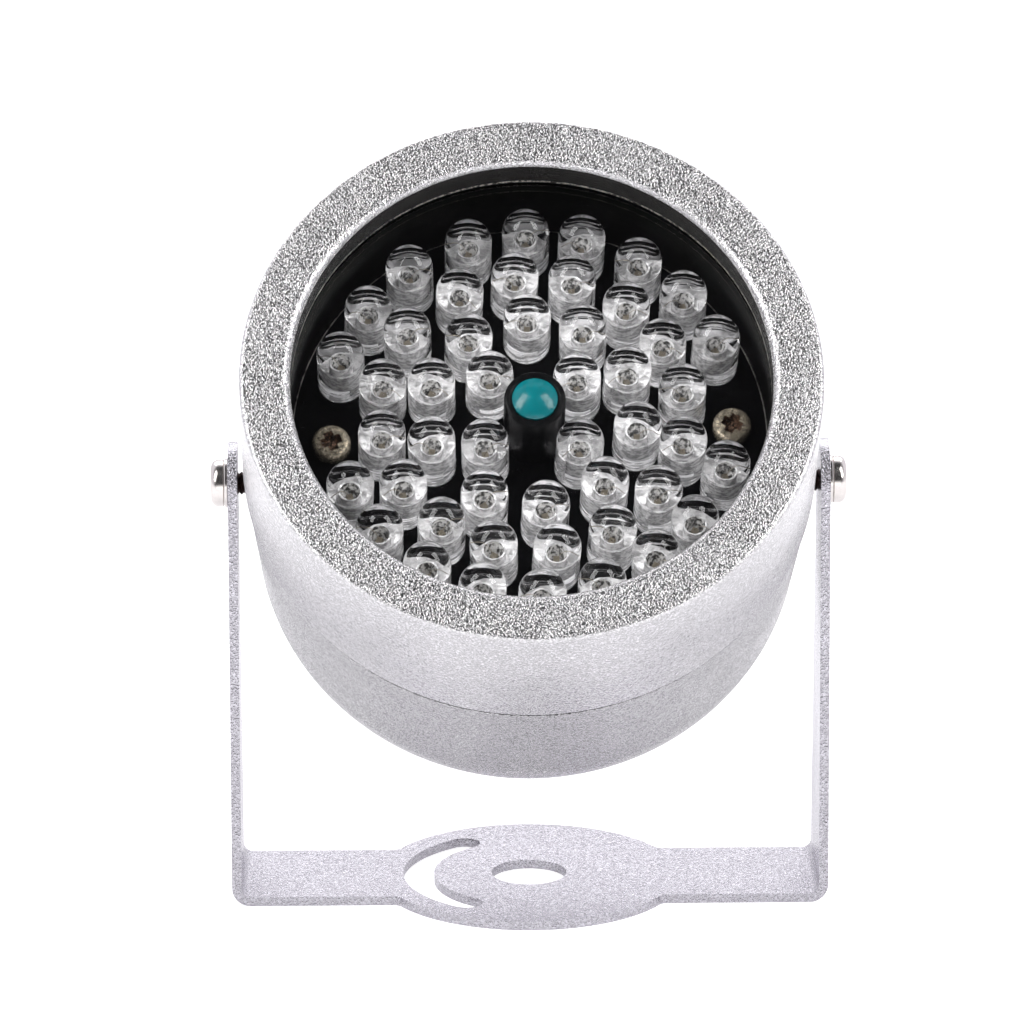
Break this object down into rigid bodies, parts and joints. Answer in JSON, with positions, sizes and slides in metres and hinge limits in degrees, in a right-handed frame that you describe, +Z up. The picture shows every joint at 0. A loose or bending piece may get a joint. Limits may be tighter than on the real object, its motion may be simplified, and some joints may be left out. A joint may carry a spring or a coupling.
{
  "type": "infrared illuminator",
  "caption": "Round infrared illuminator: rings of clear diodes and a light sensor behind a window, in a cast metal housing that tilts in a U-shaped bracket.",
  "frame": {"origin": "centre of the bracket's base hole, on the underside of the base", "axes": "+Z up from the base; the lamp looks towards -Y and up at rest; +X to the right of a viewer who faces the window; the tilt axis runs along X"},
  "size_m": [0.0672, 0.0685, 0.0826],
  "materials": {
    "housing_paint": "silver paint with a fine hammered grain over a die casting",
    "bracket_paint": "the same silver paint over folded steel sheet",
    "window_glass": "clear and polished",
    "black_rubber": "matt",
    "black_plastic": "matt black",
    "black_laminate": "glass-fibre laminate under black resist",
    "sensor_resin": "glossy tinted resin",
    "resistor_body": "black film on ceramic",
    "moulded_body": "black moulding compound",
    "nickel_screw": "nickel-plated steel",
    "clear_resin": "water-clear resin"
  },
  "bodies": {
    "bracket": {"bracket": "bracket_paint"},
    "lamp": {"front_shell": "housing_paint", "rear_shell": "housing_paint", "window": "window_glass", "window_gasket": "black_rubber", "spacer_tube": "black_plastic", "seam_seal": "black_rubber", "led_board": "black_laminate", "light_sensor": "sensor_resin", "sensor_sleeve": "black_rubber", "resistors": "resistor_body", "switch_transistor": "moulded_body", "input_diode": "moulded_body", "board_screws": "nickel_screw", "pivot_screws": "nickel_screw", "pivot_washers": "nickel_screw", "cable_grommet": "black_rubber", "led_ring_centre": "clear_resin", "led_ring_inner": "clear_resin", "led_ring_middle": "clear_resin", "led_ring_outer": "clear_resin"}
  },
  "joints": [
    {"name": "head_tilt", "type": "hinge", "parent": "bracket", "child": "lamp", "pos_m": [0, 0, 0.0445], "axis": [-1, 0, 0], "range_deg": [-132.5, 227.5]}
  ]
}
